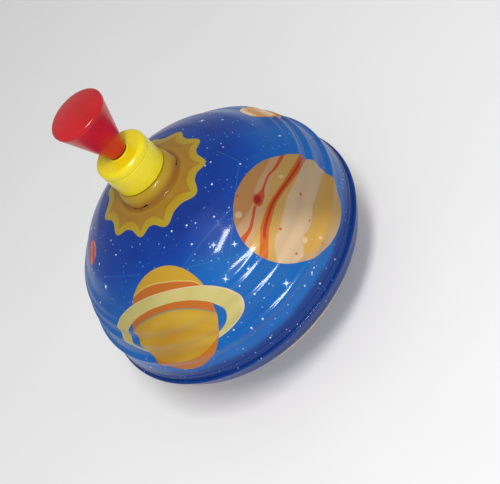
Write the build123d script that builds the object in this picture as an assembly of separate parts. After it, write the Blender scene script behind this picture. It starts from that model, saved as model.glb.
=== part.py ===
from build123d import *

import os
from math import asin, cos, degrees, hypot, pi, sin

# A pump-action humming top in tinplate. Millimetres. +Z is the spin axis, and the origin is the
# centre of the flat rubber sole that the top stands on.

# Driving dimensions
TIN = 0.4  # sheet thickness of both drum shells
RIM_RADIUS = 95.0
SEAM_HEIGHT = 56.0  # mid-plane of the rolled seam that joins the two shells
DOME_RADIUS = 93.0
DOME_RISE = 84.5
BOWL_RADIUS = 91.8
BOWL_FLOOR = 14.4
BOSS_RADIUS = 20.5
BOSS_TOP = 147.4
BOSS_FLAT = 14.0
LOUVRES = 3
LOUVRE_LENGTH = 10.8
LOUVRE_ANGLE = -20.0  # the direction of the first louvre from +X

SOLE_RADIUS = 13.5
SOLE_THICKNESS = 2.2
CUP_RADIUS = 14.5
CUP_TOP = 12.0

TUBE_RADIUS = 5.0
TUBE_BORE = 4.2
TUBE_FOOT = 3.2
TUBE_TOP = 150.0
RUNNING_FIT = 0.06  # radial clearance of a bush that turns on the tube

COLLAR_RADIUS = 17.5
COLLAR_BORE = 15.3
COLLAR_SPLIT = 163.0  # joint between the collar body and its cap
COLLAR_TOP = 168.4

STRIP_WIDTH = 6.0
STRIP_THICKNESS = 1.4
LEAD = 44.0  # height of one full right-handed turn of the strip
STROKE = 110.0  # travel of the handle
ROD_FOOT = 15.5
ROD_TOP = 190.0
SLOT_CLEARANCE = 0.2
ROD_HOLE = 3.35  # round holes that the twisted strip slides through

KNOB_FOOT = 169.4
KNOB_SHOULDER = 204.5
KNOB_TOP = 208.5
KNOB_NECK_RADIUS = 6.2
KNOB_RADIUS = 18.0
KNOB_WALL = 2.2

TEETH = 12
TOOTH_HEIGHT = 1.6
TOOTH_WIDTH = 4.6
TOOTH_INNER = 9.5
TOOTH_OUTER = 14.0
CLUTCH_GAP = 0.5  # the driver is shown lifted clear, so that the drum can coast

REEDS = 2 * LOUVRES
PLATE_HEIGHT = 133.9
PLATE_THICKNESS = 0.6
PLATE_RADIUS = 30.0
REED_WIDTH = 3.0
REED_THICKNESS = 0.3
RIVET_RADIUS = 0.8
RIVET_CIRCLE = 14.5  # distance of the rivets from the axis

# An elliptical shell: its half width, the height of its widest plane, and its rise from there.
DOME = (DOME_RADIUS, SEAM_HEIGHT + 0.5 * TIN + TIN, DOME_RISE)
BOWL = (BOWL_RADIUS, SEAM_HEIGHT - 0.5 * TIN, BOWL_FLOOR - SEAM_HEIGHT + 0.5 * TIN)
DOME_CREASES = (BOSS_RADIUS, 43.0, 64.0, 75.0, 80.5, 86.0, 90.5, DOME_RADIUS)
BOWL_CREASES = (17.0, 46.0, 66.0, 80.0, 88.0, BOWL_RADIUS)
BAND_SWELL = 0.3


def turned(*edges):
    """The solid of revolution about Z of a closed outline of (radius, height) edges."""
    return revolve(Plane.XZ * make_face([*edges]), Axis.Z)


def turned_outline(*points):
    """The solid of revolution of a closed outline of straight runs."""
    return turned(*Polyline(*points, close=True).edges())


def ring(inner, outer, low, high):
    """A plain ring, or a disc where inner is 0."""
    return turned_outline((inner, low), (outer, low), (outer, high), (inner, high))


def around(count, part, first=0.0):
    """Copies of a part, equally spaced about Z from a first angle."""
    return [Rot(0, 0, first + 360 * i / count) * part for i in range(count)]


def shell_point(shape, angle, offset):
    """A point of an elliptical shell's section, moved along the outward normal by offset."""
    half_width, base, rise = shape
    across, along = sin(angle) / half_width, cos(angle) / rise
    length = hypot(across, along)
    radius = half_width * sin(angle) + offset * across / length
    return (radius, base + rise * cos(angle) + offset * along / length)


def banded_arcs(shape, creases, offset):
    """Swelling arcs that meet in shallow creases at the given radii of the shell."""
    angles = [asin(radius / shape[0]) for radius in creases]
    return [
        ThreePointArc(
            shell_point(shape, first, offset),
            shell_point(shape, (first + last) / 2, offset + BAND_SWELL),
            shell_point(shape, last, offset),
        )
        for first, last in zip(angles, angles[1:])
    ]


def banded_sheet(shape, creases, centre_run, rim_run):
    """A shell of sheet thickness: its outer arcs, a run round the rim, its inner arcs, and a run
    round the centre, from the inner face back to the outer one."""
    outer = banded_arcs(shape, creases, 0)
    inner = banded_arcs(shape, creases, -TIN)
    rim = Polyline(outer[-1] @ 1, *rim_run, inner[-1] @ 1)
    return turned(*outer, *rim.edges(), *inner, *centre_run(inner[0] @ 0, outer[0] @ 0))


def boss_run(inner_start, outer_start):
    """The boss above the dome: a convex shoulder up to a flat top, with the bush's hole."""
    hole = 8.0
    low_shoulder = ThreePointArc(inner_start, (18.4, 144.3), (BOSS_FLAT - 0.2, BOSS_TOP - TIN))
    high_shoulder = ThreePointArc((BOSS_FLAT, BOSS_TOP), (18.8, 144.7), outer_start)
    flat = Polyline(
        (BOSS_FLAT - 0.2, BOSS_TOP - TIN),
        (hole, BOSS_TOP - TIN),
        (hole, BOSS_TOP),
        (BOSS_FLAT, BOSS_TOP),
    )
    return [low_shoulder, *flat.edges(), high_shoulder]


def floor_run(inner_start, outer_start):
    """The bowl's flat floor, with the hub bush's hole."""
    hole, edge = 8.5, 15.5
    return Polyline(
        inner_start,
        (edge - 0.2, BOWL_FLOOR + TIN),
        (hole, BOWL_FLOOR + TIN),
        (hole, BOWL_FLOOR),
        (edge, BOWL_FLOOR),
        outer_start,
    ).edges()


def upper_shell():
    """The dome. Its edge is folded round the bowl's flange, and air slits ring its boss."""
    top, fold = SEAM_HEIGHT + 1.5 * TIN, SEAM_HEIGHT - 1.5 * TIN
    hem = (
        (RIM_RADIUS, top),
        (RIM_RADIUS, fold),
        (BOWL_RADIUS + 0.2, fold),
        (BOWL_RADIUS + 0.2, fold + TIN),
        (RIM_RADIUS - TIN, fold + TIN),
        (RIM_RADIUS - TIN, top - TIN),
        (DOME_RADIUS - TIN, top - TIN),
    )
    shell = banded_sheet(DOME, DOME_CREASES, boss_run, hem)
    slit = Pos(BOSS_RADIUS, 0, 139.6) * Box(4, LOUVRE_LENGTH, 0.9)
    return shell - around(LOUVRES, slit, LOUVRE_ANGLE)


def lower_shell():
    """The bowl, with a flat flange that the dome's hem grips."""
    flange = (
        (RIM_RADIUS - TIN, SEAM_HEIGHT - 0.5 * TIN),
        (RIM_RADIUS - TIN, SEAM_HEIGHT + 0.5 * TIN),
        (BOWL_RADIUS - TIN, SEAM_HEIGHT + 0.5 * TIN),
    )
    return banded_sheet(BOWL, BOWL_CREASES, floor_run, flange)


def foot_sole():
    """A rubber pad under the foot."""
    return chamfer(ring(0, SOLE_RADIUS, 0, SOLE_THICKNESS).edges().group_by(Axis.Z)[0], 0.4)


def foot_cup():
    """The foot that stays still on the floor, with a blind bore for the spindle tube."""
    flank = ThreePointArc((CUP_RADIUS, 4.4), (10.9, 7.2), (9.4, CUP_TOP))
    rest = Polyline(
        (9.4, CUP_TOP),
        (TUBE_RADIUS, CUP_TOP),
        (TUBE_RADIUS, TUBE_FOOT),
        (0, TUBE_FOOT),
        (0, SOLE_THICKNESS),
        (CUP_RADIUS, SOLE_THICKNESS),
        (CUP_RADIUS, 4.4),
    )
    return turned(flank, *rest.edges())


def spindle_tube():
    """The steel tube that the drum turns on and the rod slides in."""
    return ring(TUBE_BORE, TUBE_RADIUS, TUBE_FOOT, TUBE_TOP)


def rod_guide_bush():
    """A long bush in the tube's mouth: it guides the rod and stops it from being pulled out."""
    return ring(ROD_HOLE, TUBE_BORE, ROD_FOOT + 3 + STROKE, TUBE_TOP)


def thrust_washer():
    """The steel washer on the foot that carries the drum's weight."""
    return ring(TUBE_RADIUS + 0.1, 9.0, CUP_TOP, CUP_TOP + 0.8)


def lower_hub_bush():
    """The drum's lower bearing, flanged below the bowl's floor."""
    bore, barrel, flange = TUBE_RADIUS + RUNNING_FIT, 8.5, 14.0
    foot = CUP_TOP + 0.9
    return turned_outline(
        (bore, foot),
        (flange - 0.8, foot),
        (flange, foot + 0.8),
        (flange, BOWL_FLOOR),
        (barrel, BOWL_FLOOR),
        (barrel, 26.0),
        (bore, 26.0),
    )


def hub_lock_ring():
    """The push-on ring that clamps the bowl to its bush."""
    return ring(8.5, 13.0, BOWL_FLOOR + TIN, BOWL_FLOOR + TIN + 1.6)


def top_bush():
    """The drum's upper bearing: a flange under the boss, and a step that the reed plate seats on."""
    bore, barrel, step, flange = TUBE_RADIUS + RUNNING_FIT, 8.0, 9.2, 13.0
    plate_top, boss_inside = PLATE_HEIGHT + PLATE_THICKNESS, BOSS_TOP - TIN
    return turned_outline(
        (bore, PLATE_HEIGHT - 1.5),
        (barrel, PLATE_HEIGHT - 1.5),
        (barrel, plate_top),
        (step, plate_top),
        (step, boss_inside - 1.6),
        (flange, boss_inside - 1.6),
        (flange, boss_inside),
        (barrel, boss_inside),
        (barrel, BOSS_TOP + 2.0),
        (bore, BOSS_TOP + 2.0),
    )


def top_lock_ring():
    """The push-on ring that holds the reed plate against the bush's step."""
    return ring(8.0, 11.5, PLATE_HEIGHT - 1.5, PLATE_HEIGHT)


def rivet_holes():
    """The holes, through plate and reed, that the rivets fill."""
    hole = Pos(RIVET_CIRCLE, 0, PLATE_HEIGHT) * Cylinder(RIVET_RADIUS, 4)
    return around(REEDS, hole)


def reed_plate():
    """A dished plate under the louvres, with an opening below each reed."""
    top = PLATE_HEIGHT + PLATE_THICKNESS
    plate = ring(8.0, PLATE_RADIUS, PLATE_HEIGHT, top)
    lip = ring(PLATE_RADIUS - PLATE_THICKNESS, PLATE_RADIUS, top, 135.7)
    opening = Pos(22.6, 0, PLATE_HEIGHT) * Box(11.2, REED_WIDTH + 0.6, 4)
    return plate + lip - around(REEDS, opening) - rivet_holes()


def reeds():
    """The brass tongues that sound as air passes them, each fixed at its inner end."""
    top = PLATE_HEIGHT + PLATE_THICKNESS
    tongue = Pos(20.0, 0, top + REED_THICKNESS / 2) * Box(15.0, REED_WIDTH, REED_THICKNESS)
    return Compound(children=[tongue - rivet_holes() for tongue in around(REEDS, tongue)])


def reed_rivets():
    """One headed rivet through each reed and the plate."""
    low, high = PLATE_HEIGHT, PLATE_HEIGHT + PLATE_THICKNESS + REED_THICKNESS
    rivet = turned_outline(
        (0, low - 0.5),
        (1.4, low - 0.5),
        (1.4, low),
        (RIVET_RADIUS, low),
        (RIVET_RADIUS, high),
        (1.4, high),
        (1.4, high + 0.5),
        (0, high + 0.5),
    )
    return Compound(children=around(REEDS, Pos(RIVET_CIRCLE, 0, 0) * rivet))


def wedge(height, steep_side):
    """A saw tooth on the XY plane, along X. Its steep face is towards steep_side of Y."""
    half = steep_side * TOOTH_WIDTH / 2
    outline = Polyline((-half, 0), (half, 0), (half, height), close=True)
    tooth = extrude(Plane.YZ * make_face(outline), TOOTH_OUTER - TOOTH_INNER)
    return Pos(TOOTH_INNER, 0, 0) * tooth


def clutch_ring():
    """The ratchet ring on the collar's floor. Its steep faces take a push towards +turn."""
    floor = BOSS_TOP + 2.0
    base = ring(8.2, COLLAR_BORE, floor, floor + 1.4)
    return base + around(TEETH, Pos(0, 0, floor + 1.4) * wedge(TOOTH_HEIGHT, -1))


def driver_disc():
    """The one-way driver: saw teeth below, and a hub that holds the steel key plate."""
    crest = BOSS_TOP + 3.4 + TOOTH_HEIGHT + CLUTCH_GAP
    base = crest + TOOTH_HEIGHT
    seat, hub_top = base + 1.5, COLLAR_SPLIT - 2.3
    body = turned_outline(
        (4.2, base),
        (14.2, base),
        (14.2, base + 3.0),
        (10.5, base + 3.0),
        (10.5, hub_top),
        (8.0, hub_top),
        (8.0, seat),
        (4.2, seat),
    )
    return body + around(TEETH, Pos(0, 0, base) * wedge(-TOOTH_HEIGHT, 1))


def strip_angle(height):
    """The turn, in degrees, of the strip's width from X at a height, with the handle down."""
    return 360 * (height - ROD_FOOT) / LEAD


def twisted_strip(clearance, low, high):
    """The right-handed twisted strip between two heights, grown by a clearance all round."""
    section = Rectangle(STRIP_WIDTH + 2 * clearance, STRIP_THICKNESS + 2 * clearance)
    twist = strip_angle(high) - strip_angle(low)
    strip = Solid.extrude_linear_with_rotation(section.face(), (0, 0, 0), (0, 0, high - low), twist)
    return Pos(0, 0, low) * Rot(0, 0, strip_angle(low)) * strip


def driver_key_plate():
    """The steel plate whose slot follows the rod's twist and turns the driver."""
    low = BOSS_TOP + 3.4 + 2 * TOOTH_HEIGHT + CLUTCH_GAP + 1.5
    return ring(0, 8.0, low, low + 1.6) - twisted_strip(SLOT_CLEARANCE, low - 1, low + 2.6)


def collar_body():
    """The cup round the clutch, which stands on the boss's flat top."""
    floor = BOSS_TOP + 2.0
    return turned_outline(
        (8.0, BOSS_TOP),
        (BOSS_FLAT, BOSS_TOP),
        (COLLAR_RADIUS - 0.7, BOSS_TOP - 0.3),
        (COLLAR_RADIUS, BOSS_TOP + 0.4),
        (COLLAR_RADIUS, COLLAR_SPLIT),
        (COLLAR_BORE, COLLAR_SPLIT),
        (COLLAR_BORE, floor),
        (8.0, floor),
    )


def collar_cap():
    """The chamfered cap, whose spigot plugs into the collar body."""
    hole, chamfer_size = 5.0, 1.8
    return turned_outline(
        (hole, COLLAR_SPLIT - 2.0),
        (COLLAR_BORE, COLLAR_SPLIT - 2.0),
        (COLLAR_BORE, COLLAR_SPLIT),
        (COLLAR_RADIUS, COLLAR_SPLIT),
        (COLLAR_RADIUS, COLLAR_TOP - chamfer_size),
        (COLLAR_RADIUS - chamfer_size, COLLAR_TOP),
        (hole, COLLAR_TOP),
    )


def cap_bush():
    """The flanged eyelet that guides the rod through the cap."""
    return turned_outline(
        (ROD_HOLE, COLLAR_SPLIT - 2.0),
        (5.0, COLLAR_SPLIT - 2.0),
        (5.0, COLLAR_TOP),
        (6.2, COLLAR_TOP),
        (6.2, COLLAR_TOP + 0.6),
        (ROD_HOLE, COLLAR_TOP + 0.6),
    )


def knob_radius_at(height):
    """The outer radius of the knob's cone at a height."""
    share = (height - KNOB_FOOT) / (KNOB_SHOULDER - KNOB_FOOT)
    return KNOB_NECK_RADIUS + share * (KNOB_RADIUS - KNOB_NECK_RADIUS)


PIN_RADIUS = 1.0
PIN_HEIGHT = 178.0
PIN_LENGTH = 2 * knob_radius_at(PIN_HEIGHT) - 1.0
ROD_SOCKET = 3.1


def pin_solid(length):
    """A pin across the knob's neck, square to the strip's flat side."""
    pin = Rot(0, 90, 0) * Cylinder(PIN_RADIUS, length)
    return Pos(0, 0, PIN_HEIGHT) * Rot(0, 0, strip_angle(PIN_HEIGHT) + 90) * pin


def knob_cone():
    """The handle: a cone that widens upwards, hollow above the rod's socket."""
    cavity_floor = ROD_TOP + 1.5
    cone = turned_outline(
        (ROD_SOCKET, KNOB_FOOT),
        (KNOB_NECK_RADIUS, KNOB_FOOT),
        (KNOB_RADIUS, KNOB_SHOULDER),
        (KNOB_RADIUS - KNOB_WALL, KNOB_SHOULDER),
        (knob_radius_at(cavity_floor) - KNOB_WALL, cavity_floor),
        (0, cavity_floor),
        (0, ROD_TOP),
        (ROD_SOCKET, ROD_TOP),
    )
    return cone - pin_solid(PIN_LENGTH)


def knob_cap():
    """The crowned lid of the handle, with a spigot inside the cone."""
    corner = 1.6
    spigot = knob_radius_at(KNOB_SHOULDER - 2.5) - KNOB_WALL
    shoulder = (KNOB_RADIUS - corner, KNOB_SHOULDER + corner)
    crown = TangentArc((0, KNOB_TOP), shoulder, tangent=(1, 0))
    edge = TangentArc(shoulder, (KNOB_RADIUS, KNOB_SHOULDER), tangent=crown % 1)
    rest = Polyline(
        (0, KNOB_TOP),
        (0, KNOB_SHOULDER + 1.4),
        (spigot - 1.6, KNOB_SHOULDER - 1.0),
        (spigot - 1.6, KNOB_SHOULDER - 2.5),
        (spigot, KNOB_SHOULDER - 2.5),
        (spigot, KNOB_SHOULDER),
        (KNOB_RADIUS, KNOB_SHOULDER),
    )
    return turned(edge, crown, *rest.edges())


def knob_pin():
    """The steel pin that fixes the rod in the knob."""
    return pin_solid(PIN_LENGTH)


def spiral_rod():
    """The twisted steel strip that turns the driver as it is pushed down."""
    return twisted_strip(0, ROD_FOOT, ROD_TOP) - pin_solid(PIN_LENGTH)


def rod_stop():
    """The ferrule on the rod's foot, which meets the guide bush at full stretch."""
    ferrule = ring(0, TUBE_BORE - 0.3, ROD_FOOT - 1.0, ROD_FOOT + 2.6)
    return ferrule - twisted_strip(0, ROD_FOOT, ROD_FOOT + 4.0)


NODES = (
    foot_sole,
    foot_cup,
    spindle_tube,
    rod_guide_bush,
    thrust_washer,
    lower_shell,
    lower_hub_bush,
    hub_lock_ring,
    upper_shell,
    top_bush,
    top_lock_ring,
    reed_plate,
    reeds,
    reed_rivets,
    clutch_ring,
    collar_body,
    collar_cap,
    cap_bush,
    driver_disc,
    driver_key_plate,
    spiral_rod,
    rod_stop,
    knob_cone,
    knob_cap,
    knob_pin,
)

os.makedirs("parts", exist_ok=True)
for make in NODES:
    export_step(make(), f"parts/{make.__name__}.step")
turns = STROKE / LEAD
print(f"stroke {STROKE} mm turns the driver {turns:.3f} times, {degrees(2 * pi * turns):.1f} degrees")
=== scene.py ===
import math

import bmesh
import bpy
import numpy as np
from mathutils import Matrix, Vector

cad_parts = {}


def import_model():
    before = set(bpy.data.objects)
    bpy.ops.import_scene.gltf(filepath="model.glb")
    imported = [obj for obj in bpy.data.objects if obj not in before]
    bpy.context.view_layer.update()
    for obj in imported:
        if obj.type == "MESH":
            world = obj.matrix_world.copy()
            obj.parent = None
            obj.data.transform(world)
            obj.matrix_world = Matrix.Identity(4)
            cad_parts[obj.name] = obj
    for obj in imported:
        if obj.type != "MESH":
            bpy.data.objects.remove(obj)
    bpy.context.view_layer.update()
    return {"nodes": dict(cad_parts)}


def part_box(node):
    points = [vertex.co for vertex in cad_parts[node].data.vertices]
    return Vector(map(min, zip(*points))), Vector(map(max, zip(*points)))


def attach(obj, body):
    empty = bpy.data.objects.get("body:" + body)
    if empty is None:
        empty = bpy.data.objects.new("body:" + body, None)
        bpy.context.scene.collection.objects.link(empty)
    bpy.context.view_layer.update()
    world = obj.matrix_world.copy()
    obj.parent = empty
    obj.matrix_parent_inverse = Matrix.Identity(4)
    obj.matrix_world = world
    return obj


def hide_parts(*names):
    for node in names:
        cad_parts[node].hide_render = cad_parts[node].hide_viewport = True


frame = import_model()
MM = 0.001  # a millimetre in the metres of the frame
TIN = 0.4  # the thickness of the tinplate, in millimetres


# ---------------------------------------------------------------- colour


def ink(red, green, blue):
    """A colour named by its sRGB values from 0 to 255, as the linear values that shaders use."""
    linear = []
    for value in (red, green, blue):
        share = value / 255.0
        linear.append(share / 12.92 if share <= 0.04045 else ((share + 0.055) / 1.055) ** 2.4)
    return (*linear, 1.0)


# ---------------------------------------------------------------- node arithmetic


class Value:
    """A number or colour on its way through a material's nodes, with ordinary arithmetic."""

    def __init__(self, net, socket):
        self.net = net
        self.socket = socket

    def __add__(self, other):
        return self.net.math("ADD", self, other)

    def __sub__(self, other):
        return self.net.math("SUBTRACT", self, other)

    def __rsub__(self, other):
        return self.net.math("SUBTRACT", other, self)

    def __mul__(self, other):
        return self.net.math("MULTIPLY", self, other)

    def __truediv__(self, other):
        return self.net.math("DIVIDE", self, other)

    def __rtruediv__(self, other):
        return self.net.math("DIVIDE", other, self)

    def __pow__(self, other):
        return self.net.math("POWER", self, other)


class Net:
    """Builds one material out of nodes."""

    def __init__(self, name):
        self.material = bpy.data.materials.new(name)
        self.material.use_nodes = True
        self.nodes = self.material.node_tree.nodes
        self.links = self.material.node_tree.links
        self.nodes.clear()
        self.output = self.nodes.new("ShaderNodeOutputMaterial")
        self.shader = self.nodes.new("ShaderNodeBsdfPrincipled")
        self.links.new(self.shader.outputs[0], self.output.inputs[0])

    def feed(self, target, value):
        """Links a value that comes from nodes, or sets a plain one on the socket itself."""
        if isinstance(value, Value):
            self.links.new(value.socket, target)
        else:
            target.default_value = value

    def math(self, operation, first, second=0.0):
        node = self.nodes.new("ShaderNodeMath")
        node.operation = operation
        self.feed(node.inputs[0], first)
        self.feed(node.inputs[1], second)
        return Value(self, node.outputs[0])

    def vector(self, operation, first, second=(0.0, 0.0, 0.0)):
        node = self.nodes.new("ShaderNodeVectorMath")
        node.operation = operation
        self.feed(node.inputs[0], first)
        self.feed(node.inputs[1], second)
        number = operation in ("DOT_PRODUCT", "LENGTH", "DISTANCE")
        return Value(self, node.outputs["Value" if number else "Vector"])

    def scaled(self, vector, factor):
        node = self.nodes.new("ShaderNodeVectorMath")
        node.operation = "SCALE"
        self.feed(node.inputs[0], vector)
        self.feed(node.inputs["Scale"], factor)
        return Value(self, node.outputs["Vector"])

    def place(self):
        """Where the surface is, in millimetres in the frame of the CAD."""
        node = self.nodes.new("ShaderNodeTexCoord")
        return self.scaled(Value(self, node.outputs["Object"]), 1.0 / MM)

    def split(self, vector):
        node = self.nodes.new("ShaderNodeSeparateXYZ")
        self.feed(node.inputs[0], vector)
        return [Value(self, socket) for socket in node.outputs]

    def join(self, x, y, z):
        node = self.nodes.new("ShaderNodeCombineXYZ")
        for target, value in zip(node.inputs, (x, y, z)):
            self.feed(target, value)
        return Value(self, node.outputs[0])

    def step(self, value, start, end):
        """0 below start, 1 above end, smooth between. End may be the lower one."""
        node = self.nodes.new("ShaderNodeMapRange")
        node.interpolation_type = "SMOOTHSTEP"
        low, high, flip = (start, end, False) if start < end else (end, start, True)
        self.feed(node.inputs["Value"], value)
        node.inputs["From Min"].default_value = low
        node.inputs["From Max"].default_value = high
        node.inputs["To Min"].default_value = 1.0 if flip else 0.0
        node.inputs["To Max"].default_value = 0.0 if flip else 1.0
        return Value(self, node.outputs["Result"])

    def inside(self, distance, soft=0.18):
        """1 where the distance to an edge is negative."""
        return self.step(distance, soft, -soft)

    def mix(self, share, first, second):
        node = self.nodes.new("ShaderNodeMix")
        node.data_type = "RGBA"
        self.feed(node.inputs[0], share)
        self.feed(node.inputs[6], first)
        self.feed(node.inputs[7], second)
        return Value(self, node.outputs[2])

    def tint(self, color, factor):
        """The colour made lighter or darker by a factor."""
        return self.scaled(color, factor)

    def curve(self, value, points, low, high):
        """A smooth graph through (input, output) points; outputs lie between low and high."""
        node = self.nodes.new("ShaderNodeFloatCurve")
        start, end = points[0][0], points[-1][0]
        line = node.mapping.curves[0]
        while len(line.points) < len(points):
            line.points.new(0.5, 0.5)
        for point, (x, y) in zip(line.points, points):
            point.location = ((x - start) / (end - start), (y - low) / (high - low))
            point.handle_type = "AUTO"
        node.mapping.update()
        self.feed(node.inputs["Value"], (value - start) / (end - start))
        return Value(self, node.outputs[0]) * (high - low) + low

    def noise(self, vector, scale, detail=2.0, roughness=0.5):
        """Noise around 0.5; scale is in features per millimetre."""
        node = self.nodes.new("ShaderNodeTexNoise")
        self.feed(node.inputs["Vector"], vector)
        node.inputs["Scale"].default_value = scale
        node.inputs["Detail"].default_value = detail
        node.inputs["Roughness"].default_value = roughness
        return Value(self, node.outputs[0])

    def bump(self, height, distance):
        """Relief from a height, with distance in millimetres for a height of 1."""
        node = self.nodes.new("ShaderNodeBump")
        node.inputs["Strength"].default_value = 1.0
        node.inputs["Distance"].default_value = distance * MM
        self.feed(node.inputs["Height"], height)
        self.links.new(node.outputs[0], self.shader.inputs["Normal"])

    def finish(self, **settings):
        """Sets the shader's sockets by name, with _ for a space, and gives the material."""
        for name, value in settings.items():
            self.feed(self.shader.inputs[name.replace("_", " ")], value)
        return self.material


# ---------------------------------------------------------------- meshes

SHARP_CORNER = 32.0  # degrees between faces from which an edge of a solid is shaded sharp
SHARP_FOLD = 38.0  # the same for a pressed sheet
ROUNDING_RUNS = 6  # straight runs in the section of a rounded corner
TURNED_SEGMENTS = 192  # faces round the axis of a turned solid


def mesh_object(name, points, faces):
    """A smooth-shaded mesh from points in millimetres, with its real corners kept sharp."""
    mesh = bpy.data.meshes.new(name)
    mesh.from_pydata([tuple(c * MM for c in p) for p in points], [], faces)
    mesh.update()
    tidy = bmesh.new()
    tidy.from_mesh(mesh)
    bmesh.ops.recalc_face_normals(tidy, faces=tidy.faces)
    tidy.to_mesh(mesh)
    tidy.free()
    mesh.shade_smooth()
    mesh.set_sharp_from_angle(angle=math.radians(SHARP_CORNER))
    piece = bpy.data.objects.new(name, mesh)
    bpy.context.scene.collection.objects.link(piece)
    return piece


def rounded(corners):
    """A closed outline of (radius, height, rounding) corners, with roundings as short runs."""
    line = []
    for i, (r, z, size) in enumerate(corners):
        here = np.array((r, z), float)
        before = np.array(corners[i - 1][:2], float) - here
        after = np.array(corners[(i + 1) % len(corners)][:2], float) - here
        if size <= 0:
            line.append(tuple(here))
            continue
        start = here + before / np.linalg.norm(before) * size
        end = here + after / np.linalg.norm(after) * size
        for k in range(ROUNDING_RUNS + 1):
            t = k / ROUNDING_RUNS
            line.append(tuple((1 - t) ** 2 * start + 2 * t * (1 - t) * here + t * t * end))
    return line


def turned_points(outline, segments):
    """Points of an outline turned about Z, and for each point of the outline a row of indices."""
    points, rows = [], []
    for r, z in outline:
        if r < 1e-6:
            rows.append([len(points)] * segments)
            points.append((0.0, 0.0, z))
            continue
        rows.append(list(range(len(points), len(points) + segments)))
        for k in range(segments):
            angle = 2 * math.pi * k / segments
            points.append((r * math.cos(angle), r * math.sin(angle), z))
    return points, rows


def strips(rows, closed):
    """Faces between neighbouring rows of points."""
    faces = []
    pairs = list(zip(rows, rows[1:])) + ([(rows[-1], rows[0])] if closed else [])
    for low, high in pairs:
        count = len(low)
        for k in range(count):
            corners = (low[k], low[(k + 1) % count], high[(k + 1) % count], high[k])
            face = tuple(dict.fromkeys(corners))
            if len(face) > 2:
                faces.append(face)
    return faces


def turned(name, corners):
    """A solid turned about Z from (radius, height, rounding) corners."""
    points, rows = turned_points(rounded(corners), TURNED_SEGMENTS)
    hollow = corners[0][0] > 0 or corners[-1][0] > 0
    return mesh_object(name, points, strips(rows, closed=hollow))


def sheet_metal(piece):
    """Gives an open surface the thickness of the tinplate, on the inside."""
    solid = piece.modifiers.new("sheet", "SOLIDIFY")
    solid.thickness = TIN * MM
    solid.offset = -1.0
    solid.use_even_offset = True
    depsgraph = bpy.context.evaluated_depsgraph_get()
    made = bpy.data.meshes.new_from_object(piece.evaluated_get(depsgraph))
    piece.modifiers.clear()
    open_surface = piece.data
    piece.data = made
    bpy.data.meshes.remove(open_surface)
    made.set_sharp_from_angle(angle=math.radians(SHARP_FOLD))


# ---------------------------------------------------------------- the drum's shape

DOME_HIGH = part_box("upper_shell")[1] / MM
BOWL_LOW, BOWL_HIGH = (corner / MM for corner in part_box("lower_shell"))
RIM_RADIUS = DOME_HIGH.x
BOSS_TOP = DOME_HIGH.z
BOWL_FLOOR = BOWL_LOW.z
SEAM = BOWL_HIGH.z - TIN / 2  # the middle of the bowl's flange, which the dome's hem grips

# Each shell is an ellipse: its half width, the height of its widest plane, its rise from there.
DOME_HALF, DOME_BASE, DOME_RISE = RIM_RADIUS - 2.0, SEAM + 0.6, BOSS_TOP - SEAM - 6.9
BOWL_HALF, BOWL_BASE = RIM_RADIUS - 3.2, SEAM - TIN / 2
DOME = (DOME_HALF, DOME_BASE, DOME_RISE)
BOWL = (BOWL_HALF, BOWL_BASE, BOWL_FLOOR - BOWL_BASE)

# The pressed steps: the radius of the middle of each rise, its height, the lengths of its rise
# and its fall along the section, and its skew. The dome's steps follow the photo's highlights.
DOME_RIBS = (
    (43.0, 0.2, 6.0, 8.0, 1.0),
    (61.0, 0.35, 9.0, 10.0, 1.0),
    (74.2, 1.3, 8.7, 12.5, 1.66),
    (78.9, 1.48, 5.15, 6.0, 1.2),
    (83.3, 1.65, 7.7, 6.0, 2.3),
    (89.2, 2.0, 5.2, 6.0, 1.85),
    (92.8, 0.6, 1.8, 3.0, 1.0),
)
BOWL_RIBS = (
    (46.0, 0.5, 5.0, 6.0, 1.0),
    (66.0, 0.7, 5.0, 7.0, 1.0),
    (80.0, 0.9, 5.0, 7.0, 1.0),
    (87.5, 0.9, 4.0, 5.0, 1.0),
)
# How fine each shell is: (outer radius of a zone, spacing of its points), and faces round it.
DOME_ZONES, DOME_SEGMENTS = ((66.0, 1.0), (DOME_HALF - 0.05, 0.55)), 240
BOWL_ZONES, BOWL_SEGMENTS = ((BOWL_HALF - 0.02, 0.9),), 320
SECTION_STATIONS = 1200  # for measuring along a shell's section

BOSS_RADIUS = 20.5
SLIT_HEIGHT = 139.6
SLIT_ANGLES = (-140.0, -20.0, 100.0)  # degrees about Z
SLIT_HALF, SLIT_OPEN = 5.4, 0.5  # half the length and half the height of an air slit
LIP_SPREAD = 1.15  # half the length of a slit's lips, as a share of the slit's
LIP_PUSH, LIP_REACH = 1.15, 2.4  # how far the upper lip stands out, and over what height
SILL_PUSH, SILL_REACH = 0.35, 1.2  # the same for the lower one, which is pressed in
LIP_AREA_DEPTH, LIP_AREA_RADIUS = 3.0, 24.0  # nothing further below or further out moves


def shell_point(shape, angle, offset):
    """A point of an elliptical shell's section, moved outwards by offset."""
    half, base, rise = shape
    across, along = math.sin(angle) / half, math.cos(angle) / rise
    length = math.hypot(across, along)
    return (
        half * math.sin(angle) + offset * across / length,
        base + rise * math.cos(angle) + offset * along / length,
    )


def ease(share):
    """A smooth rise from 0 to 1."""
    share = min(1.0, max(0.0, share))
    return share * share * (3 - 2 * share)


def relief(distance, ribs):
    """How far pressed ribs stand out at a distance along the section.

    Each rises to its crest and falls again. A higher skew makes it rise later and more steeply.
    """
    total = 0.0
    for crest, height, rise, fall, skew in ribs:
        if distance <= crest:
            total += height * ease(max(0.0, (distance - crest + rise) / rise) ** skew)
        else:
            total += height * ease((crest + fall - distance) / fall)
    return total


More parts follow.
